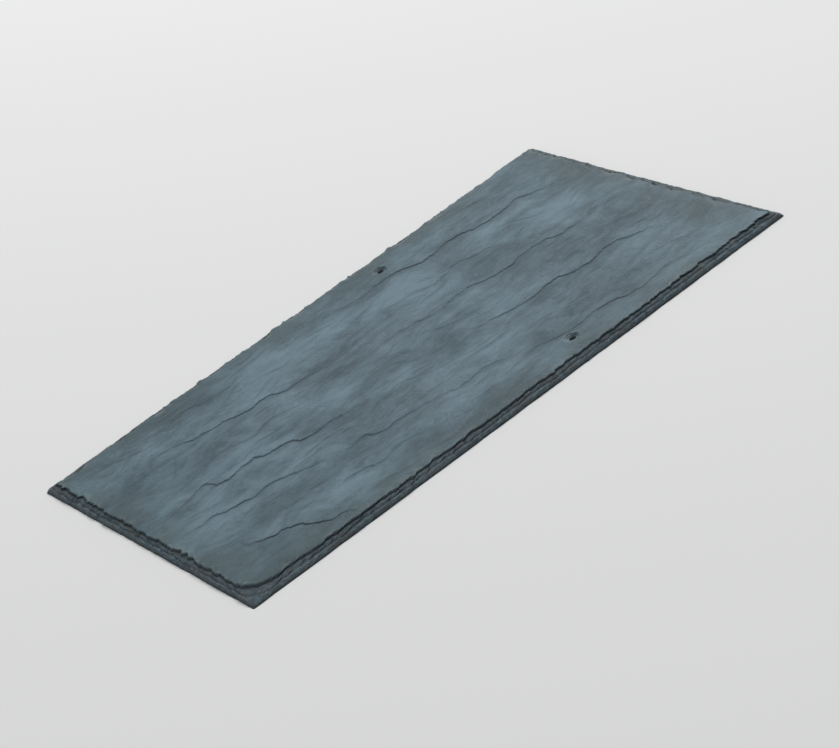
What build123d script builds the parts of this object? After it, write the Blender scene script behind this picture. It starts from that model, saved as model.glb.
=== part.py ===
from build123d import *
from math import radians, sin, sqrt
import os

os.makedirs("parts", exist_ok=True)

# One field slate, in millimetres. It lies bed down on Z = 0, centred on the origin,
# with its tail, the end that shows on a roof, towards -Y and its head towards +Y.
slate_width = 295.0
slate_length = 445.0

# The slab has split into three laminae on its dressed edges, given here from the bed up
bed_lamina = 3.1
middle_lamina = 2.1
face_lamina = 1.8
slate_thickness = bed_lamina + middle_lamina + face_lamina

# Every lamina slopes in by the batter and steps back from the one below it by the ledge
edge_batter = 1.3
edge_ledge = 1.3

# The bed line is straight, and each line above it is rougher than the last
lip_roughness = 1.5
bite_length = 17.0

# Corners are crisp at the bed, and the right tail corner wears round towards the face
bed_corner_radius = 1.5
face_corner_radius = 4.0
worn_corner_radius = 24.0

# Two nail holes above the lap, punched from the bed so that the face spalls round them
exposure = 175.0
head_lap = 95.0
nail_above_lap = 12.0
nail_side_margin = 28.0
nail_hole_diameter = 4.5
spall_diameter = 11.0
spall_angle = 112.0

# The bites along an edge swing in and out unevenly as their number goes up
coarse_turn = radians(137.5)
fine_turn = radians(83.0)
fine_share = 0.45


def bite(number, side):
    """How far one station of a rough edge stands in or out, from -1 to 1."""
    coarse = sin(coarse_turn * number + side)
    fine = sin(fine_turn * number + coarse_turn * side)
    return (coarse + fine_share * fine) / (1 + fine_share)


def lamina_outline(height, setback, roughness, corner_radius, worn_radius):
    """Face of one lamina at a height: four rough sides and four rounded corners."""
    half_width = slate_width / 2 - setback
    half_length = slate_length / 2 - setback
    corners = [
        Vector(-half_width, -half_length),
        Vector(half_width, -half_length),
        Vector(half_width, half_length),
        Vector(-half_width, half_length),
    ]
    radii = [corner_radius, worn_radius, corner_radius, corner_radius]
    with BuildSketch(Plane.XY.offset(height)) as outline:
        with BuildLine():
            for side, corner in enumerate(corners):
                following = (side + 1) % len(corners)
                along = (corners[following] - corner).normalized()
                inward = Vector(-along.Y, along.X)
                start = corner + along * radii[side]
                end = corners[following] - along * radii[following]
                bites = max(2, round((end - start).length / bite_length))
                stations = [start + (end - start) * (number / bites) for number in range(1, bites)]
                rough = [
                    station + inward * (roughness * bite(number, side))
                    for number, station in enumerate(stations)
                ]
                Spline(start, *rough, end)
                turn_radius = radii[following]
                corner_end = corners[following] + inward * turn_radius
                to_corner = (along - inward) * (turn_radius / sqrt(2))
                arc_centre = end + inward * turn_radius
                ThreePointArc(end, arc_centre + to_corner, corner_end)
        make_face()
    return outline.sketch


with BuildPart() as slate:
    laminae = [bed_lamina, middle_lamina, face_lamina]
    lines = 2 * len(laminae) - 1
    foot = 0.0
    setback = 0.0
    for number, height in enumerate(laminae):
        faces = []
        for line, level in enumerate((foot, foot + height)):
            wear = (2 * number + line) / lines
            faces.append(
                lamina_outline(
                    level,
                    setback + line * edge_batter,
                    wear * lip_roughness,
                    bed_corner_radius + wear * (face_corner_radius - bed_corner_radius),
                    bed_corner_radius + wear * (worn_corner_radius - bed_corner_radius),
                )
            )
        loft(faces, ruled=True)
        foot += height
        setback += edge_batter + edge_ledge

    nail_y = exposure + head_lap + nail_above_lap - slate_length / 2
    nail_x = slate_width / 2 - nail_side_margin
    with Locations((-nail_x, nail_y, slate_thickness), (nail_x, nail_y, slate_thickness)):
        CounterSinkHole(nail_hole_diameter / 2, spall_diameter / 2, counter_sink_angle=spall_angle)

slate.part.label = "slate"
export_step(slate.part, "parts/slate.step")
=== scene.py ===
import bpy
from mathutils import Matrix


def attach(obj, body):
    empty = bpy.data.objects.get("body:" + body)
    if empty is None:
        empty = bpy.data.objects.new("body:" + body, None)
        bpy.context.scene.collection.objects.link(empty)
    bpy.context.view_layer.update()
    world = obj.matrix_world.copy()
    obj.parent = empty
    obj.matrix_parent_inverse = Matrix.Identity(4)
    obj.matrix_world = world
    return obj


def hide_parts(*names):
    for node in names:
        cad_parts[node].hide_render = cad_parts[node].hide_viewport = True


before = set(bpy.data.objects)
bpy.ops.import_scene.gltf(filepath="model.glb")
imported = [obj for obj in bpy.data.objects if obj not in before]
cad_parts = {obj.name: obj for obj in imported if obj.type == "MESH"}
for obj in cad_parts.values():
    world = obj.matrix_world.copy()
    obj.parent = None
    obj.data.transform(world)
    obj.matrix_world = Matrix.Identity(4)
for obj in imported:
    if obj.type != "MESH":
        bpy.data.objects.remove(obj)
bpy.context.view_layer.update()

import math

import bpy
import numpy as np
from mathutils import Matrix, Vector
from mathutils.geometry import delaunay_2d_cdt
from mathutils.kdtree import KDTree

# The slate is one slab, split by hand from a block of fine blue-grey stone along its cleavage.
# Its four edges are dressed with a knife, which breaks them back in three thin laminae, and its
# right tail corner has worn round. Two nail holes are punched through it from the bed.
MM = 0.001
slate_width = 295.0
slate_length = 445.0
slate_thickness = 7.0
worn_corner_radius = 24.0
crisp_corner_radius = 4.0
bed_corner_radius = 1.5

# Lines round the dressed edge, from the bed line up to the face. Each one gives how far it
# steps in, its height, the lamina it belongs to, how much of the chipping it takes, how far
# it may slide in or out by itself, and how dark it is painted: painted shadow along the bed
# and under the lip, with some dirt.
edge_lines = [
    (0.00, 0.00, 0, 0.10, 0.0, 1.0),
    (0.10, 0.45, 0, 0.13, 0.0, 0.9),
    (0.55, 1.40, 0, 0.18, 0.2, 0.2),
    (1.00, 2.30, 0, 0.24, 0.5, 0.0),
    (1.50, 2.95, 0, 0.32, 1.0, 0.0),
    (2.10, 3.15, 0, 0.42, 1.1, 0.0),
    (2.75, 3.30, 1, 0.56, 1.0, 0.6),
    (2.90, 3.95, 1, 0.60, 0.9, 0.0),
    (3.40, 4.70, 1, 0.64, 0.4, 0.1),
    (3.95, 5.08, 1, 0.74, 0.3, 0.3),
    (4.55, 5.20, 1, 0.84, 0.1, 0.8),
    (5.50, 5.30, 2, 0.95, 0.0, 1.0),
    (4.75, 5.75, 2, 0.97, 0.0, 1.0),
    (4.75, 6.30, 2, 1.00, 0.0, 1.0),
    (5.05, 6.82, 2, 1.00, 0.0, 0.7),
    (5.90, 7.00, 2, 1.00, 0.0, 0.0),
]
face_setback = edge_lines[-1][0]
lip_height = 6.8
wear_power = 0.8

# Points stand at these distances along the edge, over the face and over the bed
station_spacing = 0.9
face_spacing = 1.58
bed_spacing = 6.0
lattice_row = 0.866

# The corners go round from the left of the tail, and the second is the worn one
corner_signs = ((-1, -1), (1, -1), (1, 1), (-1, 1))
crisp_corners = (0, 2, 3)
corner_stations = [7, 40, 7, 7]
side_stations = [round((side - 2 * face_setback) / station_spacing)
                 for side in (slate_width, slate_length, slate_width, slate_length)]

# A crisp corner is broken back less than a side is
corner_share = 0.4
corner_reach = 12.0


def corner_radii(wear):
    """The radii of the four corners, which grow with the wear of the line."""
    crisp = bed_corner_radius + wear * (crisp_corner_radius - bed_corner_radius)
    worn = bed_corner_radius + wear * (worn_corner_radius - bed_corner_radius)
    return [crisp, worn, crisp, crisp]


def edge_line(setback, wear):
    """One closed line round the slate: its points, and the way in from each of them."""
    half = np.array([slate_width, slate_length]) / 2 - setback
    corners = [half * sign for sign in corner_signs]
    radii = corner_radii(wear)
    points, ways_in = [], []
    for side, corner in enumerate(corners):
        following = (side + 1) % 4
        span = corners[following] - corner
        along = span / np.linalg.norm(span)
        inward = np.array([-along[1], along[0]])
        start = corner + along * radii[side]
        end = corners[following] - along * radii[following]
        for step in range(side_stations[side]):
            points.append(start + (end - start) * step / side_stations[side])
            ways_in.append(inward)
        centre = end + inward * radii[following]
        for step in range(corner_stations[following]):
            turn = math.pi / 2 * step / corner_stations[following]
            out = along * math.sin(turn) - inward * math.cos(turn)
            points.append(centre + out * radii[following])
            ways_in.append(-out)
    points, ways_in = np.array(points), np.array(ways_in)
    away = np.min([np.linalg.norm(points - corners[number], axis=1) for number in crisp_corners],
                  axis=0)
    share = corner_share + (1 - corner_share) * np.clip(away / corner_reach, 0, 1) ** 2
    return points, ways_in * share[:, None]


def inside_edge(points, setback, wear):
    """Which points of the plane lie inside the line at that setback."""
    half = np.array([slate_width, slate_length]) / 2 - setback
    kept = (np.abs(points) < half).all(axis=1)
    for sign, radius in zip(corner_signs, corner_radii(wear)):
        past = (points - (half - radius) * sign) * sign
        cut = (past > 0).all(axis=1) & (np.linalg.norm(past, axis=1) > radius)
        kept &= ~cut
    return kept


def lattice(spacing):
    """An even triangular lattice over the whole slate."""
    rows = int(slate_length / spacing / lattice_row)
    columns = int(slate_width / spacing)
    row, column = np.mgrid[-rows // 2:rows // 2 + 1, -columns // 2:columns // 2 + 1]
    x = (column + 0.5 * (row % 2)) * spacing
    return np.stack([x.ravel(), (row * spacing * lattice_row).ravel()], axis=1)


# The cleft lines are where a thin lamina broke away as the slab was split. They are drawn
# down the slate, as (across, up from the tail) and the depth of the step in millimetres.
cleft_lines = [
    (0.55, [(30, 176), (22, 150), (19, 125), (10, 119), (6, 100), (0, 92), (2, 76), (0, 66),
            (-11, 60), (-8, 47), (-3, 36), (0, 15)]),
    (0.50, [(60, 120), (48, 94), (41, 81), (42, 65), (38, 52), (31, 42), (33, 30), (28, 15)]),
    (0.40, [(80, 205), (74, 171), (73, 154), (64, 145), (66, 132), (70, 122), (68, 113)]),
    (0.60, [(136, 94), (127, 87), (122, 74), (112, 69), (102, 59), (98, 47), (92, 38), (81, 34)]),
    (0.50, [(-44, 196), (-52, 166), (-52, 154), (-62, 145), (-62, 127), (-69, 108), (-73, 88),
            (-83, 71), (-84, 52)]),
    (0.30, [(-112, 150), (-108, 128), (-116, 104), (-112, 82), (-120, 60)]),
    (0.30, [(-90, 60), (-82, 54), (-72, 47), (-70, 34)]),
    (0.35, [(104, 168), (99, 150), (103, 132), (95, 116), (97, 100)]),
    (0.30, [(-24, 150), (-30, 128), (-26, 108), (-34, 90), (-32, 70)]),
    (0.45, [(2, 425), (-6, 396), (-3, 370), (-14, 344), (-10, 318), (-20, 290), (-17, 262),
            (-26, 236), (-24, 212)]),
    (0.50, [(66, 418), (60, 388), (50, 372), (53, 346), (42, 322), (45, 298), (36, 270),
            (38, 244)]),
    (0.40, [(126, 398), (118, 366), (121, 338), (110, 312), (112, 290), (104, 262), (107, 236)]),
    (0.50, [(-70, 430), (-76, 402), (-86, 384), (-84, 356), (-95, 330), (-92, 304), (-104, 276),
            (-101, 250), (-110, 222)]),
    (0.35, [(-52, 352), (-50, 330), (-58, 308), (-55, 286), (-63, 262)]),
    (0.35, [(92, 250), (84, 232), (87, 214), (80, 198)]),
    (0.30, [(-124, 400), (-119, 378), (-126, 352)]),
]
cleft_wobble = 0.7
cleft_jag = 0.32
cleft_half_width = 0.28
cleft_point_spacing = 1.3
cleft_fade = 0.6

# The short splits between them wander down the grain, and about a third step the other way
short_cleft_count = 110
short_cleft_steps = (9, 42)
short_cleft_depths = (0.10, 0.26)
short_cleft_slant = 0.2
short_cleft_hold = 0.92
short_cleft_swing = 0.16
other_way_share = 0.35
clear_of_lip, clear_of_cleft, clear_of_nail = 5, 4, 10

draw = np.random.default_rng(27)


def drawn_cleft(marks):
    """A smooth line through the drawn marks, with the small jogs of a broken edge."""
    marks = np.array(marks, float) - (0, slate_length / 2)
    ends = np.vstack([2 * marks[0] - marks[1], marks, 2 * marks[-1] - marks[-2]])
    points = []
    for before, start, end, after in zip(ends, ends[1:], ends[2:], ends[3:]):
        count = max(2, round(np.linalg.norm(end - start) / cleft_point_spacing))
        for step in range(count):
            t = step / count
            points.append(0.5 * (2 * start + (end - before) * t
                                 + (2 * before - 5 * start + 4 * end - after) * t ** 2
                                 + (3 * start - before - 3 * end + after) * t ** 3))
    points = np.array(points + [marks[-1]])
    jog = np.convolve(draw.normal(size=len(points) + 4), np.ones(5) / 2.2, "valid")
    jog = jog * cleft_wobble + draw.uniform(-cleft_jag, cleft_jag, len(points))
    return points + sideways(points) * jog[:, None]


def wandering_cleft():
    """A short split that wanders down the grain from anywhere on the face."""
    place = draw.uniform(-0.5, 0.5, 2) * (slate_width, slate_length)
    heading = draw.normal() * short_cleft_slant
    points = [place]
    for _ in range(int(draw.uniform(*short_cleft_steps))):
        heading = short_cleft_hold * heading + draw.normal() * short_cleft_swing
        place = place + cleft_point_spacing * np.array([math.sin(heading), -math.cos(heading)])
        points.append(place)
    return np.array(points)


def sideways(points):
    """The way to the left of a line, at each of its points."""
    ways = np.gradient(points, axis=0)
    ways /= np.linalg.norm(ways, axis=1)[:, None]
    return np.stack([-ways[:, 1], ways[:, 0]], axis=1)


nail_places = [(-119.5, 59.5), (119.5, 59.5)]
long_clefts = [(depth, drawn_cleft(marks)) for depth, marks in cleft_lines]
short_clefts = []
taken = np.vstack([points for _, points in long_clefts])
while len(short_clefts) < short_cleft_count:
    points = wandering_cleft()
    gaps = np.linalg.norm(points[:, None] - taken[None], axis=2)
    nail_gap = min(np.linalg.norm(points - place, axis=1).min() for place in nail_places)
    on_face = inside_edge(points, face_setback + clear_of_lip, 1.0).all()
    if on_face and gaps.min() > clear_of_cleft and nail_gap > clear_of_nail:
        if draw.random() < other_way_share:
            points = points[::-1]
        short_clefts.append((draw.uniform(*short_cleft_depths), points))
        taken = np.vstack([taken, points])


def cleft_object(name, clefts):
    """The cleft lines as curves, whose radius is the depth of the step and fades at both ends."""
    curves = bpy.data.curves.new(name, "CURVE")
    curves.dimensions = "3D"
    for depth, points in clefts:
        spline = curves.splines.new("POLY")
        spline.points.add(len(points) - 1)
        for number, (point, corner) in enumerate(zip(points, spline.points)):
            share = number / (len(points) - 1)
            corner.co = (point[0] * MM, point[1] * MM, 0, 1)
            corner.radius = depth * MM * math.sin(math.pi * share) ** cleft_fade
    made = bpy.data.objects.new(name, curves)
    bpy.context.scene.collection.objects.link(made)
    return made


long_cleft_lines = cleft_object("long_clefts", long_clefts)
short_cleft_lines = cleft_object("short_clefts", short_clefts)

# Two nail holes stand 12 mm above the lap. The punch comes through from the bed, so the face
# breaks away round each in a shallow stepped cone. Each line gives a radius and a height.
nail_lines = [(6.6, 7.0), (5.4, 6.9), (5.0, 6.3), (4.2, 6.0), (3.9, 5.4), (3.0, 5.1), (2.5, 4.6),
              (2.25, 4.2), (2.25, 0.4), (2.35, 0.0)]
nail_stations = 40

points_made, heights_made = [], []
notes = {name: [] for name in ("lip_x", "lip_y", "way_x", "way_y", "rim", "chip_share", "lamina",
                               "slide", "relief_share", "bed_share", "edge", "dirt", "spall")}
faces_made = []


def add_points(points, height, **values):
    """Adds a row of points at a height, with what the riving needs to know of each."""
    first = sum(map(len, points_made))
    points_made.append(np.asarray(points, float))
    heights_made.append(np.broadcast_to(height, len(points)))
    for name, row in notes.items():
        row.append(np.broadcast_to(values.get(name, 0.0), len(points)))
    return np.arange(first, first + len(points))


def add_strip(outer, inner):
    """Joins two closed lines with a strip of faces."""
    quads = np.stack([outer, np.roll(outer, -1), np.roll(inner, -1), inner], axis=1)
    faces_made.extend(quads.tolist())


def filled(loops, loose, extra_edges, holes):
    """Triangles over the area inside the first loop and outside the holes."""
    points = np.vstack(loops + [loose])
    edges, first = [], 0
    for loop in loops:
        edges += [(first + step, first + (step + 1) % len(loop)) for step in range(len(loop))]
        first += len(loop)
    edges += [(first + a, first + b) for a, b in extra_edges]
    found, _, triangles, sources, _, _ = delaunay_2d_cdt(
        [Vector(point) for point in points], edges, [], 1, 1e-5)
    found = np.array([tuple(point) for point in found])
    triangles = np.array(triangles)
    middles = found[triangles].mean(axis=1)
    for hole, radius in holes:
        triangles = triangles[np.linalg.norm(middles - hole, axis=1) > radius]
        middles = found[triangles].mean(axis=1)
    return found, triangles, [source[0] if source else -1 for source in sources]


lip_points, lip_ways = edge_line(face_setback, 1.0)
line_points = []
for setback, height, lamina, chip_share, slide, dirt in edge_lines[:-1]:
    wear = (height / slate_thickness) ** wear_power
    points, ways = edge_line(setback, wear)
    line_points.append(add_points(
        points, height, lip_x=lip_points[:, 0], lip_y=lip_points[:, 1], way_x=ways[:, 0],
        way_y=ways[:, 1], chip_share=chip_share, lamina=lamina, slide=slide, dirt=dirt,
        relief_share=(height / slate_thickness) ** 2, edge=1.0 if height < lip_height else 0.6))

# The spall round a nail hole is a little out of round
turns = np.arange(nail_stations) * math.tau / nail_stations
ragged = 1 + 0.09 * np.sin(2 * turns + 1) + 0.06 * np.sin(5 * turns) + 0.04 * np.sin(13 * turns + 2)


def nail_line(place, radius, raggedness):
    """One line round a nail hole."""
    reach = radius * (1 + (ragged - 1) * raggedness)
    return np.stack([place[0] + reach * np.cos(turns), place[1] + reach * np.sin(turns)], axis=1)


# The riven face between the lip and the nail holes, with points along both sides of each cleft
clear_of_line, clear_of_spall, clear_of_ring = 0.75, 7.3, 0.8
face_holes = [nail_line(place, nail_lines[0][0], 0) for place in nail_places]
cleft_rows, cleft_edges, first = [], [], 0
for _, points in long_clefts + short_clefts:
    for side in (-1, 1):
        row = points + sideways(points) * side * cleft_half_width
        cleft_rows.append(row)
        cleft_edges += [(first + step, first + step + 1) for step in range(len(row) - 1)]
        first += len(row)
cleft_points = np.vstack(cleft_rows)
near_cleft = KDTree(len(cleft_points))
for number, point in enumerate(cleft_points):
    near_cleft.insert((*point, 0), number)
near_cleft.balance()
loose = lattice(face_spacing)
loose = loose[inside_edge(loose, face_setback + clear_of_ring, 1.0)]
loose = np.array([p for p in loose if near_cleft.find((*p, 0))[2] > clear_of_line
                  and all(math.dist(p, place) > clear_of_spall for place in nail_places)])
found, triangles, sources = filled(
    [lip_points, *face_holes], np.vstack([cleft_points, loose]), cleft_edges,
    [(place, nail_lines[0][0]) for place in nail_places])

near_lip = KDTree(len(lip_points))
for number, point in enumerate(lip_points):
    near_lip.insert((*point, 0), number)
near_lip.balance()
nearest = [near_lip.find((*point, 0)) for point in found]
lip_numbers = np.array([number for _, number, _ in nearest])
rim = np.array([distance for _, _, distance in nearest])
chip_reach = 14.0
face_points = add_points(
    found, slate_thickness, lip_x=lip_points[lip_numbers, 0], lip_y=lip_points[lip_numbers, 1],
    way_x=lip_ways[lip_numbers, 0], way_y=lip_ways[lip_numbers, 1], rim=rim,
    chip_share=np.clip(1 - rim / chip_reach, 0, 1) ** 2, lamina=2, relief_share=1.0,
    edge=np.where(rim < 0.1, 0.3, 0.0))
faces_made.extend(face_points[triangles].tolist())
at_source = {source: number for number, source in enumerate(sources) if source >= 0}
line_points.append(face_points[[at_source[number] for number in range(len(lip_points))]])
for lower, upper in zip(line_points, line_points[1:]):
    add_strip(lower, upper)

# The bed, and the walls of the nail holes between the face and the bed
bed_margin = 3.0
clear_of_hole = 5
bed_points, _ = edge_line(0.0, 0.0)
bed_holes = [nail_line(place, nail_lines[-1][0], 0) for place in nail_places]
loose = lattice(bed_spacing)
loose = loose[inside_edge(loose, bed_margin, 0.0)]
loose = np.array([p for p in loose
                  if all(math.dist(p, place) > clear_of_hole for place in nail_places)])
found, triangles, bed_sources = filled([bed_points, *bed_holes], loose, [],
                                       [(place, nail_lines[-1][0]) for place in nail_places])
bed_first = len(bed_points)
inner = np.array([source >= bed_first for source in bed_sources])
bed_numbers = add_points(
    found[inner], 0.0,
    bed_share=[1.0 if source >= bed_first + 2 * nail_stations else 0.0
               for source in np.array(bed_sources)[inner]])
into = np.zeros(len(found), int)
into[inner] = bed_numbers
for number, source in enumerate(bed_sources):
    if source < bed_first:
        into[number] = line_points[0][source]
faces_made.extend(into[triangles][:, ::-1].tolist())
bed_at_source = {source: number for number, source in enumerate(bed_sources)}

# The first rows down a nail hole are its spall, and the rest are its wall
spall_rows = 5
# Two rows of the spall, at the feet of its steps, are painted darker
darkened_spall_rows = (1, 3)
far_from_rim = 40.0
for hole, place in enumerate(nail_places):
    first = hole * nail_stations
    rows = [face_points[[at_source[len(lip_points) + first + step]
                         for step in range(nail_stations)]]]
    for number, (radius, height) in enumerate(nail_lines[1:-1]):
        in_spall = number < spall_rows
        rows.append(add_points(
            nail_line(place, radius, max(0, 1 - number / (spall_rows - 1))), height,
            rim=far_from_rim, relief_share=1.0 if in_spall else 0.0, edge=0.3 if in_spall else 0.8,
            spall=1.0 if in_spall else 0.0, dirt=0.6 if number in darkened_spall_rows else 0.0))
    rows.append(into[[bed_at_source[bed_first + first + step] for step in range(nail_stations)]])
    for upper, lower in zip(rows, rows[1:]):
        add_strip(upper, lower)

places = np.column_stack([np.vstack(points_made), np.concatenate(heights_made)]) * MM
blank = bpy.data.meshes.new("slate_blank")
blank.from_pydata(places.tolist(), [], faces_made)
for name, rows in notes.items():
    scale = MM if name in ("lip_x", "lip_y", "rim") else 1
    values = (np.concatenate(rows) * scale).astype(np.float32)
    blank.attributes.new(name, "FLOAT", "POINT").data.foreach_set("value", values)
blank.validate()
slate = bpy.data.objects.new("slate_tile", blank)
bpy.context.scene.collection.objects.link(slate)


class Wiring:
    """Adds nodes to a tree and joins them up."""

    def __init__(self, tree):
        self.tree = tree

    def add(self, kind, inputs=None, out=0, **settings):
        made = self.tree.nodes.new(kind)
        for key, value in settings.items():
            setattr(made, key, value)
        for key, value in (inputs or {}).items():
            if isinstance(key, int):
                socket = made.inputs[key]
            else:
                socket = next(s for s in made.inputs if s.name == key and s.enabled)
            if isinstance(value, bpy.types.NodeSocket):
                self.tree.links.new(value, socket)
            else:
                socket.default_value = value
        if out is None:
            return made
        if isinstance(out, int):
            return [s for s in made.outputs if s.enabled][out]
        return next(s for s in made.outputs if s.name == out and s.enabled)

    def math(self, operation, *values, clamp=False):
        return self.add("ShaderNodeMath", dict(enumerate(values)), operation=operation,
                        use_clamp=clamp)

    def vector(self, operation, *values, out=0):
        return self.add("ShaderNodeVectorMath", dict(enumerate(values)), operation=operation,
                        out=out)

    def ramp(self, value, low, high, smooth=False, first=0.0, last=1.0):
        return self.add("ShaderNodeMapRange",
                        {"Value": value, "From Min": low, "From Max": high,
                         "To Min": first, "To Max": last},
                        interpolation_type="SMOOTHSTEP" if smooth else "LINEAR")


# The face follows thin layers of the stone, so it swells in terraces. The splitting and the
# colouring of the stone both place their layers by this same rule.
layer_size = 62 * MM
layer_count = 6.0
layer_step_share = 0.72
layer_shift = (2.193, 1.251, 0.0)


def layers(tree, vector):
    """The swell of the face from 0 to 1, the number of the layer, and how near its edge is."""
    swell = tree.add("ShaderNodeTexNoise", {"Vector": vector, "Scale": 1 / layer_size,
                                            "Detail": 4.0, "Roughness": 0.5, "Distortion": 0.5})
    swell = tree.math("MULTIPLY", tree.ramp(swell, 0.28, 0.72), layer_count)
    number = tree.math("FLOOR", swell)
    within = tree.math("SUBTRACT", swell, number)
    riser = tree.ramp(within, 0.43, 0.57, smooth=True)
    stepped = tree.math("ADD", number, riser)
    height = tree.add("ShaderNodeMix", {"Factor": layer_step_share, "A": swell, "B": stepped})
    return tree.math("DIVIDE", height, layer_count), stepped, within


# A cleft line: the face steps down on its low side and runs out again further on. A narrow
# band along it is painted dark as the shade of the step, the more the deeper the step is.
bead_spacing = 0.5 * MM
least_run_out = 1 * MM
cleft_shade_band = (0.3 * MM, 1.1 * MM)
cleft_shade_depths = (0.05 * MM, 0.55 * MM)
cleft_step = bpy.data.node_groups.new("cleft_step", "GeometryNodeTree")
for name, kind in (("Place", "Vector"), ("Lines", "Object"), ("Run Out", "Float"),
                   ("Half Width", "Float")):
    cleft_step.interface.new_socket(name, in_out="INPUT", socket_type="NodeSocket" + kind)
for name in ("Drop", "Dirt", "Low Side"):
    cleft_step.interface.new_socket(name, in_out="OUTPUT", socket_type="NodeSocketFloat")
w = Wiring(cleft_step)
given = cleft_step.nodes.new("NodeGroupInput").outputs
line = w.add("GeometryNodeObjectInfo", {"Object": given["Lines"]}, out="Geometry")
beads = w.add("GeometryNodeCurveToPoints", {"Curve": line, "Length": bead_spacing}, out=None,
              mode="LENGTH")
closest = w.add("GeometryNodeSampleNearest",
                {"Geometry": beads.outputs["Points"], "Sample Position": given["Place"]},
                domain="POINT")


def from_line(value, kind):
    """What the nearest bead of the cleft lines says."""
    return w.add("GeometryNodeSampleIndex",
                 {"Geometry": beads.outputs["Points"], "Value": value, "Index": closest},
                 data_type=kind, domain="POINT")


along = w.add("ShaderNodeSeparateXYZ", {0: from_line(beads.outputs["Tangent"], "FLOAT_VECTOR")},
              out=None).outputs
away = w.vector("SUBTRACT", given["Place"],
                from_line(w.add("GeometryNodeInputPosition"), "FLOAT_VECTOR"))
distance = w.vector("LENGTH", away, out="Value")
gap = w.add("ShaderNodeSeparateXYZ", {0: away}, out=None).outputs
side_of = w.math("SUBTRACT", w.math("MULTIPLY", along[0], gap[1]),
                 w.math("MULTIPLY", along[1], gap[0]))
step_depth = from_line(w.add("GeometryNodeInputRadius"), "FLOAT")
low_side = w.ramp(side_of, w.math("MULTIPLY", given["Half Width"], -1.0), given["Half Width"])
run_out = w.math("MAXIMUM", w.math("MULTIPLY", step_depth, given["Run Out"]), least_run_out)
run_out = w.math("SUBTRACT", 1.0, w.math("DIVIDE", distance, run_out), clamp=True)
low_side = w.math("MULTIPLY", low_side, w.math("MULTIPLY", run_out, run_out))
drop = w.math("MULTIPLY", step_depth, low_side)
# Painted shade: a narrow dark band along the step, the darker the deeper the step
dirt = w.math("MULTIPLY", w.ramp(distance, *cleft_shade_band, first=1.0, last=0.0),
              w.ramp(step_depth, *cleft_shade_depths))
taken_out = cleft_step.nodes.new("NodeGroupOutput")
cleft_step.links.new(drop, taken_out.inputs["Drop"])
cleft_step.links.new(dirt, taken_out.inputs["Dirt"])
cleft_step.links.new(low_side, taken_out.inputs["Low Side"])

# How the slab splits: the tree takes the plain blank, bites its edges back in chips, and lowers
# its face by a broad swell, by thin terraces, by ripples along the grain and at every cleft line.
splitting = bpy.data.node_groups.new("splitting", "GeometryNodeTree")
splitting_sizes = {
    "Chip Depth": 2.4 * MM, "Chip Size": 26 * MM,
    "Small Chip Depth": 3.0 * MM, "Small Chip Size": 12 * MM,
    "Nick Depth": 1.3 * MM, "Nick Size": 3.4 * MM,
    "Lamina Wander": 0.7 * MM, "Lamina Wander Size": 38 * MM,
    "Lamina Slide": 3.6 * MM, "Lamina Slide Size": 16 * MM,
    "Break Roughness": 0.7 * MM, "Break Size": 3.2 * MM,
    "Swell Depth": 1.5 * MM,
    "Ripple Depth": 0.55 * MM, "Ripple Size": 9 * MM, "Ripple Length": 34 * MM,
    "Flake Depth": 0.5 * MM, "Flake Reach": 10 * MM,
    "Droop Depth": 0.3 * MM, "Droop Reach": 5 * MM,
    "Worn Corner Droop": 0.6 * MM, "Worn Corner Flat": 4 * MM, "Worn Corner Reach": 42 * MM,
    "Side Wear": 2.2 * MM, "Side Wear Length": 150 * MM,
    "Cleft Run Out": 28.0, "Cleft Half Width": cleft_half_width * MM, "Dirt Size": 14 * MM,
    "Bed Relief": 0.35 * MM, "Bed Relief Size": 34 * MM, "Seed": 3.0,
}
splitting.interface.new_socket("Geometry", in_out="INPUT", socket_type="NodeSocketGeometry")
splitting.interface.new_socket("Long Clefts", in_out="INPUT", socket_type="NodeSocketObject")
splitting.interface.new_socket("Short Clefts", in_out="INPUT", socket_type="NodeSocketObject")
splitting.interface.new_socket("Stone", in_out="INPUT", socket_type="NodeSocketMaterial")
for name, value in splitting_sizes.items():
    socket = splitting.interface.new_socket(name, in_out="INPUT", socket_type="NodeSocketFloat")
    socket.default_value = value
splitting.interface.new_socket("Geometry", in_out="OUTPUT", socket_type="NodeSocketGeometry")

w = Wiring(splitting)
given = splitting.nodes.new("NodeGroupInput").outputs
position = w.add("GeometryNodeInputPosition")
here = w.add("ShaderNodeSeparateXYZ", {0: position}, out=None).outputs


def noted(name):
    """A value noted on the blank's points."""
    return w.add("GeometryNodeInputNamedAttribute", {"Name": name}, data_type="FLOAT")


rim, lamina, relief_share = noted("rim"), noted("lamina"), noted("relief_share")
lip = w.add("ShaderNodeCombineXYZ", {0: noted("lip_x"), 1: noted("lip_y")})
way_in = w.add("ShaderNodeCombineXYZ", {0: noted("way_x"), 1: noted("way_y")})
flat_place = w.add("ShaderNodeCombineXYZ", {0: here[0], 1: here[1]})
seed_shift = (0.731, 0.417, 0.0)
shift = w.vector("SCALE", seed_shift)
w.tree.links.new(given["Seed"], shift.node.inputs["Scale"])
seeded_lip = w.vector("ADD", lip, shift)
seeded_place = w.vector("ADD", flat_place, shift)


def noise(vector, size, detail=2.0, roughness=0.5, distortion=0.0):
    """Noise from 0 to 1 whose features have about that size."""
    return w.add("ShaderNodeTexNoise",
                 {"Vector": vector, "Scale": w.math("DIVIDE", 1.0, size), "Detail": detail,
                  "Roughness": roughness, "Distortion": distortion})


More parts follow.
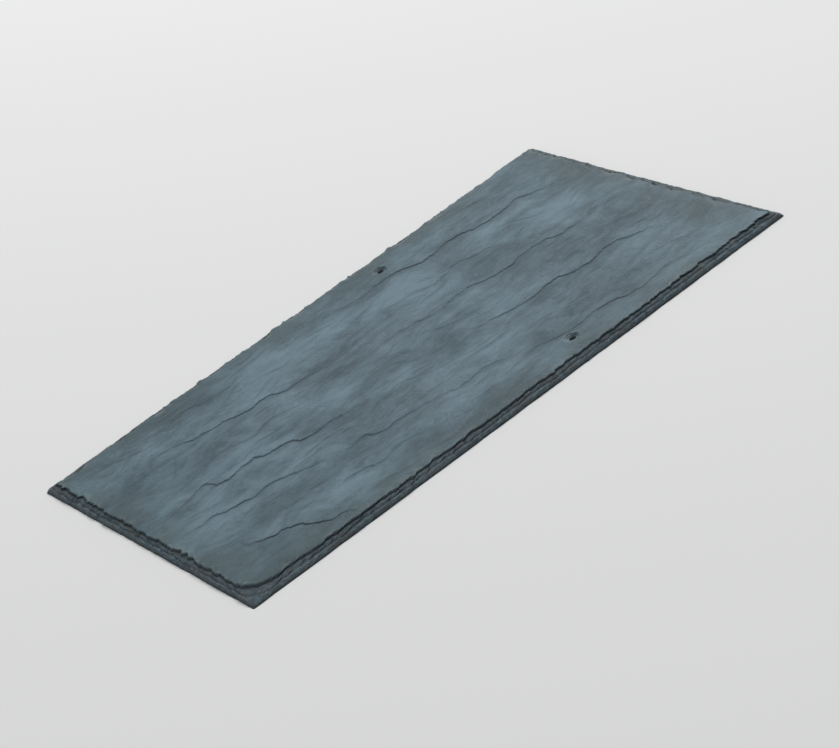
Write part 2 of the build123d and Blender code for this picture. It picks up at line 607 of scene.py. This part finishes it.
def bites(vector, size, sharpness):
    """Chips of about that size: 0 on the ridges between them, deepest in their middles."""
    scale = w.math("DIVIDE", 1.0, size)
    edge = w.add("ShaderNodeTexVoronoi", {"Vector": vector, "Scale": scale},
                 feature="DISTANCE_TO_EDGE")
    cell = w.add("ShaderNodeTexVoronoi", {"Vector": vector, "Scale": scale}, feature="F1",
                 out="Color")
    luck = w.add("ShaderNodeSeparateXYZ", {0: cell})
    ease = w.math("SUBTRACT", 1.0, w.math("DIVIDE", edge, sharpness, clamp=True))
    bowl = w.math("SUBTRACT", 1.0, w.math("MULTIPLY", ease, ease))
    return w.math("MULTIPLY", bowl, luck)


laminae_apart = 13 * MM
lamina_step = w.add("ShaderNodeCombineXYZ", {2: w.math("MULTIPLY", lamina, laminae_apart)})
big_bite = bites(seeded_lip, given["Chip Size"], 0.32)
small_bite = bites(w.vector("ADD", seeded_lip, lamina_step), given["Small Chip Size"], 0.3)
nick = bites(w.vector("ADD", seeded_lip, lamina_step), given["Nick Size"], 0.3)
bite = w.math("ADD", w.math("MULTIPLY", big_bite, given["Chip Depth"]),
              w.math("MULTIPLY", small_bite, given["Small Chip Depth"]))
bite = w.math("ADD", bite, w.math("MULTIPLY", nick, given["Nick Depth"]))
chip_share = noted("chip_share")
rough = w.math("SUBTRACT", noise(position, given["Break Size"], 3.0, 0.6), 0.5)
rough = w.math("MULTIPLY", w.math("MULTIPLY", rough, given["Break Roughness"]),
               w.math("MULTIPLY", noted("edge"), w.ramp(here[2], 0.1 * MM, 1.5 * MM)))
worn_in = worn_corner_radius / 2
worn_place = ((slate_width / 2 - worn_in) * MM, (worn_in - slate_length / 2) * MM, 0)
lip_up = w.math("ADD", noted("lip_y"), slate_length / 2 * MM)
side_wear = w.math("MULTIPLY", w.ramp(lip_up, given["Side Wear Length"], 0.0, smooth=True),
                   w.math("ABSOLUTE", noted("way_x")))
bite = w.math("ADD", bite, w.math("MULTIPLY", side_wear, given["Side Wear"]))
slide = w.math("SUBTRACT", noise(w.vector("ADD", seeded_lip, lamina_step),
                                 given["Lamina Slide Size"], 3.0, 0.6), 0.5)
slide = w.math("MULTIPLY", w.math("MULTIPLY", slide, noted("slide")), given["Lamina Slide"])
bite_in = w.math("ADD", w.math("MULTIPLY", bite, chip_share),
                 w.math("ADD", slide, w.math("MULTIPLY", rough, 2.0)))
inward = w.vector("SCALE", way_in)
w.tree.links.new(bite_in, inward.node.inputs["Scale"])

# The bites of the lip spread into the face smoothly, so that the stone doesn't fold
spread_rounds = 12
spread_band = (0.1 * MM, 1.0 * MM)
inward = w.add("GeometryNodeBlurAttribute",
               {"Value": inward, "Iterations": spread_rounds, "Weight": w.ramp(rim, *spread_band)},
               data_type="FLOAT_VECTOR")

layer_place = w.vector("ADD", flat_place, layer_shift)
relief = w.math("MULTIPLY", layers(w, layer_place)[0], given["Swell Depth"])
ripple_place = w.add("ShaderNodeCombineXYZ",
                     {0: w.math("DIVIDE", here[0], given["Ripple Size"]),
                      1: w.math("DIVIDE", here[1], given["Ripple Length"])})
ripple = w.add("ShaderNodeTexNoise", {"Vector": ripple_place, "Scale": 1.0, "Detail": 3.0,
                                      "Distortion": 0.4})
relief = w.math("ADD", relief, w.math("MULTIPLY", ripple, given["Ripple Depth"]))

# The steps down at the nearest long cleft and at the nearest short one
cleft_shading, cleft_low = [], []
for lines in ("Long Clefts", "Short Clefts"):
    step = w.add("GeometryNodeGroup",
                 {"Place": flat_place, "Lines": given[lines], "Run Out": given["Cleft Run Out"],
                  "Half Width": given["Cleft Half Width"]}, node_tree=cleft_step, out=None)
    relief = w.math("ADD", relief, step.outputs["Drop"])
    cleft_shading.append(step.outputs["Dirt"])
    cleft_low.append(step.outputs["Low Side"])
# The painted shade of the clefts, broken up along them by a noise
cleft = w.math("MULTIPLY", w.math("MAXIMUM", *cleft_shading),
               w.ramp(noise(seeded_place, given["Dirt Size"]), 0.38, 0.6, first=0.3))
low_side = w.math("MAXIMUM", *cleft_low)

# Flakes off the lip, the droop towards it and the worn corner
near_rim = w.math("SUBTRACT", 1.0, w.math("DIVIDE", rim, given["Flake Reach"]), clamp=True)
flake = w.math("MULTIPLY", w.math("MULTIPLY", near_rim, near_rim),
               w.math("MULTIPLY", big_bite, given["Flake Depth"]))
droop = w.math("DIVIDE", rim, given["Droop Reach"])
droop = w.math("EXPONENT", w.math("MULTIPLY", droop, -1.0))
droop = w.math("MULTIPLY", droop, given["Droop Depth"])
worn = w.vector("LENGTH", w.vector("SUBTRACT", flat_place, worn_place), out="Value")
worn = w.ramp(worn, given["Worn Corner Flat"], given["Worn Corner Reach"], smooth=True,
              first=1.0, last=0.0)
worn = w.math("MULTIPLY", worn, given["Worn Corner Droop"])
relief = w.math("ADD", relief, w.math("ADD", flake, w.math("ADD", droop, worn)))
wander_place = w.add("ShaderNodeCombineXYZ",
                     {0: noted("lip_x"), 1: noted("lip_y"), 2: w.math("MULTIPLY", here[2], 8.0)})
wander = w.math("SUBTRACT", noise(wander_place, given["Lamina Wander Size"]), 0.5)
wander = w.math("MULTIPLY", w.math("MULTIPLY", wander, given["Lamina Wander"]),
                w.math("MULTIPLY", w.ramp(here[2], 0.4 * MM, 2.5 * MM), noted("edge")))
bed_rise = w.math("MULTIPLY", noise(seeded_place, given["Bed Relief Size"]), noted("bed_share"))
bed_rise = w.math("MULTIPLY", bed_rise, given["Bed Relief"])
lift = w.math("ADD", w.math("ADD", wander, bed_rise),
              w.math("MULTIPLY", w.math("MULTIPLY", relief, relief_share), -1.0))
moved = w.vector("ADD", inward, w.add("ShaderNodeCombineXYZ", {2: lift}))
body = given["Geometry"]
for name, value in (("cleft", cleft), ("low_side", low_side),
                    ("flake", w.math("MULTIPLY", near_rim, small_bite)),
                    ("nick", w.math("MULTIPLY", w.ramp(rim, 4 * MM, 0.0), nick))):
    body = w.add("GeometryNodeStoreNamedAttribute",
                 {"Geometry": body, "Name": name, "Value": w.math("MULTIPLY", value, relief_share)},
                 data_type="FLOAT", domain="POINT")
body = w.add("GeometryNodeSetPosition", {"Geometry": body, "Offset": moved})
body = w.add("GeometryNodeRealizeInstances", {"Geometry": body})
body = w.add("GeometryNodeSetMaterial", {"Geometry": body, "Material": given["Stone"]})
splitting.links.new(body, splitting.nodes.new("NodeGroupOutput").inputs[0])

# The stone is blue-grey, in soft clouds and streaks of paler and darker stone along the grain,
# a little greener near the rim, with faint brown-purple patches. The broken edges are darker,
# partly as painted shade, with fine beds, pale crumbs, and painted shadow with some dirt under
# the lip and along the bed.
mid, pale, deep = (0.068, 0.114, 0.146, 1), (0.148, 0.225, 0.272, 1), (0.028, 0.052, 0.067, 1)
green, brown = (0.048, 0.077, 0.080, 1), (0.082, 0.091, 0.112, 1)
fresh_break, fresh_nick = (0.165, 0.205, 0.215, 1), (0.23, 0.27, 0.28, 1)
cleft_shade = (0.022, 0.034, 0.041, 1)
bed_dark, bed_light = (0.030, 0.048, 0.059, 1), (0.098, 0.138, 0.158, 1)
crumb, earthy = (0.15, 0.19, 0.205, 1), (0.082, 0.087, 0.086, 1)
shade_and_dirt_colour = (0.015, 0.024, 0.028, 1)
face_roughness, edge_roughness = 0.58, 0.70

stone = bpy.data.materials.new("riven_slate")
stone.use_nodes = True
stone.node_tree.nodes.clear()
s = Wiring(stone.node_tree)
place = s.add("ShaderNodeTexCoord", out="Object")

# The grain of the stone wavers by a few millimetres
waver_size = 38 * MM
waver_reach = 26 * MM
waver = s.add("ShaderNodeTexNoise", {"Vector": place, "Scale": 1 / waver_size, "Detail": 2.0},
              out="Color")
waver = s.vector("MULTIPLY", s.vector("SUBTRACT", waver, (0.5, 0.5, 0.5)), (waver_reach, 0, 0))
wavy_place = s.vector("ADD", place, waver)


def read(name):
    """An attribute of the piece's own points."""
    return s.add("ShaderNodeAttribute", out="Fac", attribute_name=name)


def patches(size, stretch=(1, 1, 1), detail=3.0, roughness=0.5, low=0.35, high=0.65, offset=0.0):
    """A soft mask of stretched patches of that size in millimetres."""
    vector = s.add("ShaderNodeMapping", {"Vector": wavy_place, "Location": (offset, 0, 0),
                                         "Scale": tuple(1 / (size * MM * by) for by in stretch)})
    return s.ramp(s.add("ShaderNodeTexNoise", {"Vector": vector, "Scale": 1.0, "Detail": detail,
                                               "Roughness": roughness}), low, high)


def part(mask, share):
    """A mask that lets through no more than a share."""
    return s.math("MULTIPLY", mask, share)


def blend(share, a, b):
    """One colour laid over another by a mask."""
    return s.add("ShaderNodeMix", {"Factor": share, "A": a, "B": b}, data_type="RGBA")


def tone_of(number, salt):
    """A tone of its own, from 0 to 1, for each numbered layer."""
    return s.add("ShaderNodeTexWhiteNoise", {"W": s.math("ADD", s.math("ROUND", number), salt)},
                 noise_dimensions="1D")


pale_patches = patches(36, (1, 2.4, 1), detail=5.0, low=0.45, high=0.62)
deep_patches = patches(34, (1, 2.2, 1), detail=5.0, offset=5.0, low=0.48, high=0.64)
brown_patches = patches(60, (1, 1.5, 1), offset=2.0, low=0.50, high=0.66)
colour = blend(part(pale_patches, 0.84), mid, pale)
colour = blend(part(deep_patches, 0.76), colour, deep)
colour = blend(part(brown_patches, 0.45), colour, brown)

# Each layer of the stone has its own tone, and a darker line where it breaks off
layer_place = s.vector("ADD", s.vector("MULTIPLY", place, (1, 1, 0)), layer_shift)
layer_height, layer_number, layer_within = layers(s, layer_place)
colour = blend(part(tone_of(layer_number, 0.5), 0.36), colour, deep)
layer_edge = s.math("ABSOLUTE", s.math("SUBTRACT", layer_within, 0.5))
layer_edge = s.ramp(layer_edge, 0.02, 0.07, first=1.0, last=0.0)
layer_edge = s.math("MULTIPLY", layer_edge, patches(18, offset=50.0, low=0.45, high=0.6))
colour = blend(part(layer_edge, 0.45), colour, deep)

# Thin sheets within the layers, too fine for the mesh
sheet_count = 18.0
sheets = patches(22, (1, 2.4, 1), detail=6.0, roughness=0.6, offset=40.0, low=0.0, high=1.0)
sheets = s.math("MULTIPLY", sheets, sheet_count)
sheet = s.math("FLOOR", sheets)
sheet_edge = s.ramp(s.math("SUBTRACT", sheets, sheet), 0.42, 0.58, smooth=True)
sheet_height = s.math("DIVIDE", s.math("ADD", sheet, sheet_edge), sheet_count)
colour = blend(part(tone_of(sheets, 7.5), 0.40), colour, pale)

# Streaks along the grain, a mottle all over, and broad clouds
streaks = patches(8, (1, 4, 1), detail=5.0, roughness=0.6, offset=9.0, low=0.40, high=0.62)
dark_streaks = patches(6, (1, 5, 1), detail=5.0, roughness=0.6, offset=15.0, low=0.52, high=0.66)
grainy = patches(55, (1, 1.4, 1), offset=60.0, low=0.4, high=0.6)
grainy = s.ramp(grainy, 0, 1, first=0.15, last=0.55)
colour = blend(part(s.math("MULTIPLY", streaks, grainy), 0.85), colour, pale)
colour = blend(part(s.math("MULTIPLY", dark_streaks, grainy), 0.95), colour, deep)
mottle = patches(3.6, (1, 1.8, 1), detail=4.0, roughness=0.7, offset=21.0, low=0.3, high=0.7)
colour = blend(part(mottle, 0.42), colour, deep)
clouds = patches(58, (1, 1.5, 1), detail=7.0, roughness=0.64, offset=33.0, low=0.41, high=0.59)
colour = blend(part(clouds, 0.54), colour, pale)
colour = blend(part(s.math("SUBTRACT", 1.0, clouds), 0.44), colour, deep)

# The rim, the flakes and nicks of the lip, the spall round the nails and the clefts
rim_tint_reach = 40 * MM
rim_mask = s.ramp(read("rim"), 0.0, rim_tint_reach, first=1.0, last=0.0, smooth=True)
rim_mask = s.math("MULTIPLY", rim_mask, patches(28, offset=30.0, low=0.2, high=0.6))
nicks = s.math("MULTIPLY", s.ramp(read("nick"), 0.3, 0.75),
               patches(16, offset=70.0, low=0.42, high=0.62))
spall = s.math("MULTIPLY", read("spall"), patches(2.2, offset=80.0, low=0.3, high=0.55))
spall_step_darkening = s.math("MULTIPLY", read("spall"), read("dirt"))
colour = blend(part(rim_mask, 0.72), colour, green)
colour = blend(part(read("low_side"), 0.32), colour, deep)
# Painted light, in part: the chips just inside the lip are paler, as fresh stone and as chips
# catching the light
colour = blend(part(s.ramp(read("flake"), 0.2, 0.7), 0.5), colour, fresh_break)
colour = blend(part(nicks, 0.68), colour, fresh_nick)
colour = blend(part(spall, 0.6), colour, fresh_break)
# The spall is painted darker at the feet of two of its steps
colour = blend(part(spall_step_darkening, 0.7), colour, deep)
# Painted shade: the clefts are darkened as the shade of their steps
colour = blend(part(read("cleft"), 0.72), colour, cleft_shade)

# The broken edges, where the beds of the stone lie level. Their colours are darker than
# the face's, partly as painted shade.
beds_to_a_metre, crumbs_to_a_metre = (240, 240, 1000), (420, 420, 520)
edge_mask = s.ramp(read("edge"), 0.3, 0.9)
beds = s.add("ShaderNodeMapping", {"Vector": place, "Scale": beds_to_a_metre})
beds = s.add("ShaderNodeTexNoise", {"Vector": beds, "Scale": 1.0, "Detail": 5.0, "Roughness": 0.7})
crumbs = s.add("ShaderNodeMapping", {"Vector": place, "Scale": crumbs_to_a_metre})
crumbs = s.add("ShaderNodeTexNoise", {"Vector": crumbs, "Scale": 1.0, "Detail": 4.0,
                                      "Roughness": 0.7})
earthy_patches = patches(14, offset=3.0, low=0.46, high=0.62)
edge_colour = blend(s.ramp(beds, 0.36, 0.64), bed_dark, bed_light)
edge_colour = blend(part(s.ramp(crumbs, 0.52, 0.66), 0.6), edge_colour, crumb)
edge_colour = blend(part(earthy_patches, 0.6), edge_colour, earthy)
# Painted shadow along the bed and under the lip, with some dirt
edge_colour = blend(part(read("dirt"), 0.9), edge_colour, shade_and_dirt_colour)
colour = blend(edge_mask, colour, edge_colour)

# The fine relief that the mesh doesn't hold: sheets, grain and the beds of the edges
grains_to_a_metre = (900, 320, 900)
grain = s.add("ShaderNodeMapping", {"Vector": place, "Scale": grains_to_a_metre})
grain = s.add("ShaderNodeTexNoise", {"Vector": grain, "Scale": 1.0, "Detail": 5.0,
                                     "Roughness": 0.62})
face_mask = s.math("SUBTRACT", 1.0, edge_mask)
face_height = s.math("ADD", s.math("MULTIPLY", layer_height, 0.6), sheet_height)
bump = s.add("ShaderNodeBump", {"Height": s.math("MULTIPLY", face_height, face_mask),
                                "Strength": 0.9, "Distance": 2.0 * MM})
edge_beds = s.math("MULTIPLY", s.math("ADD", beds, crumbs), edge_mask)
fine_height = s.math("ADD", s.math("MULTIPLY", grain, 0.7), s.math("MULTIPLY", streaks, 0.9))
bump = s.add("ShaderNodeBump", {"Height": s.math("ADD", fine_height, edge_beds),
                                "Strength": 0.6, "Distance": 0.3 * MM, "Normal": bump})
roughness = s.math("ADD", s.math("MULTIPLY", grain, 0.16), s.math("MULTIPLY", streaks, -0.06))
roughness = s.math("ADD", roughness,
                   s.ramp(edge_mask, 0, 1, first=face_roughness, last=edge_roughness))
shader = s.add("ShaderNodeBsdfPrincipled", {"Base Color": colour, "Roughness": roughness,
                                            "Normal": bump, "Specular IOR Level": 0.28})
output = stone.node_tree.nodes.new("ShaderNodeOutputMaterial")
stone.node_tree.links.new(shader, output.inputs["Surface"])

# The blank is split, and what comes out is kept as a plain mesh
split = slate.modifiers.new("splitting", "NODES")
split.node_group = splitting
for item in splitting.interface.items_tree:
    if item.in_out == "INPUT" and item.name in splitting_sizes:
        split[item.identifier] = splitting_sizes[item.name]
    if item.name == "Long Clefts":
        split[item.identifier] = long_cleft_lines
    if item.name == "Short Clefts":
        split[item.identifier] = short_cleft_lines
    if item.name == "Stone":
        split[item.identifier] = stone
depsgraph = bpy.context.evaluated_depsgraph_get()
split_mesh = bpy.data.meshes.new_from_object(slate.evaluated_get(depsgraph))
slate.modifiers.remove(split)
slate.data = split_mesh
for lines in (long_cleft_lines, short_cleft_lines):
    bpy.data.objects.remove(lines)
split_mesh.polygons.foreach_set("use_smooth", [True] * len(split_mesh.polygons))
sharp_angle = math.radians(30)
split_mesh.set_sharp_from_angle(angle=sharp_angle)
for name in ("lip_x", "lip_y", "way_x", "way_y", "chip_share", "lamina", "slide", "relief_share",
             "bed_share"):
    split_mesh.attributes.remove(split_mesh.attributes[name])
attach(slate, "root")
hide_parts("slate")

# The floor is a plain board with matt pale paint, far wider than the slate. The slate lies on
# it with its bed, and nothing holds it.
board_reach = 12.0
board_paint = (0.72, 0.72, 0.71, 1)
board_roughness = 0.9
board = bpy.data.meshes.new("floor")
board.from_pydata([(-board_reach, -board_reach, 0), (board_reach, -board_reach, 0),
                   (board_reach, board_reach, 0), (-board_reach, board_reach, 0)],
                  [], [(0, 1, 2, 3)])
floor = bpy.data.objects.new("floor", board)
bpy.context.scene.collection.objects.link(floor)
paint = bpy.data.materials.new("pale_board")
paint.use_nodes = True
paint_inputs = paint.node_tree.nodes["Principled BSDF"].inputs
paint_inputs["Base Color"].default_value = board_paint
paint_inputs["Roughness"].default_value = board_roughness
board.materials.append(paint)

# Studio light: an even pale room, and one broad square lamp above the head of the slate, to its
# left, whose light rakes over the riven face.
room_colour = (0.97, 0.985, 1.0, 1)
room_strength = 0.55
lamp_place = Vector((-2.4, 3.2, 3.4))
lamp_size = 2.2
lamp_power = 200
scene = bpy.context.scene
scene.view_settings.view_transform = "Standard"
world = bpy.data.worlds.new("room")
world.use_nodes = True
room_inputs = world.node_tree.nodes["Background"].inputs
room_inputs["Color"].default_value = room_colour
room_inputs["Strength"].default_value = room_strength
scene.world = world
light = bpy.data.lights.new("key", "AREA")
light.size = lamp_size
light.energy = lamp_power
lamp = bpy.data.objects.new("key", light)
lamp.location = lamp_place
lamp.rotation_euler = lamp_place.to_track_quat("Z", "Y").to_euler()
scene.collection.objects.link(lamp)

# The camera looks at the slate as one does at a slate on a roof: from low on its right, with
# the tail nearest. It leans over, as the slope of the roof would make it.
stands_at = Vector((1.675, -0.699, 0.890))
aim = Vector((0.0355, -0.012, 0.0035))
lean = math.radians(25.4)
sensor_width, focal_length = 36.0, 130.0
lens = bpy.data.cameras.new("camera")
lens.sensor_width = sensor_width
lens.lens = focal_length
camera = bpy.data.objects.new("camera", lens)
to_camera = (stands_at - aim).normalized()
upright = (Vector((0, 0, 1)) - to_camera * to_camera.z).normalized()
level = upright.cross(to_camera)
up = upright * math.cos(lean) + level * math.sin(lean)
right = up.cross(to_camera)
turned = Matrix((right, up, to_camera)).transposed().to_4x4()
turned.translation = stands_at
camera.matrix_world = turned
scene.collection.objects.link(camera)
scene.camera = camera
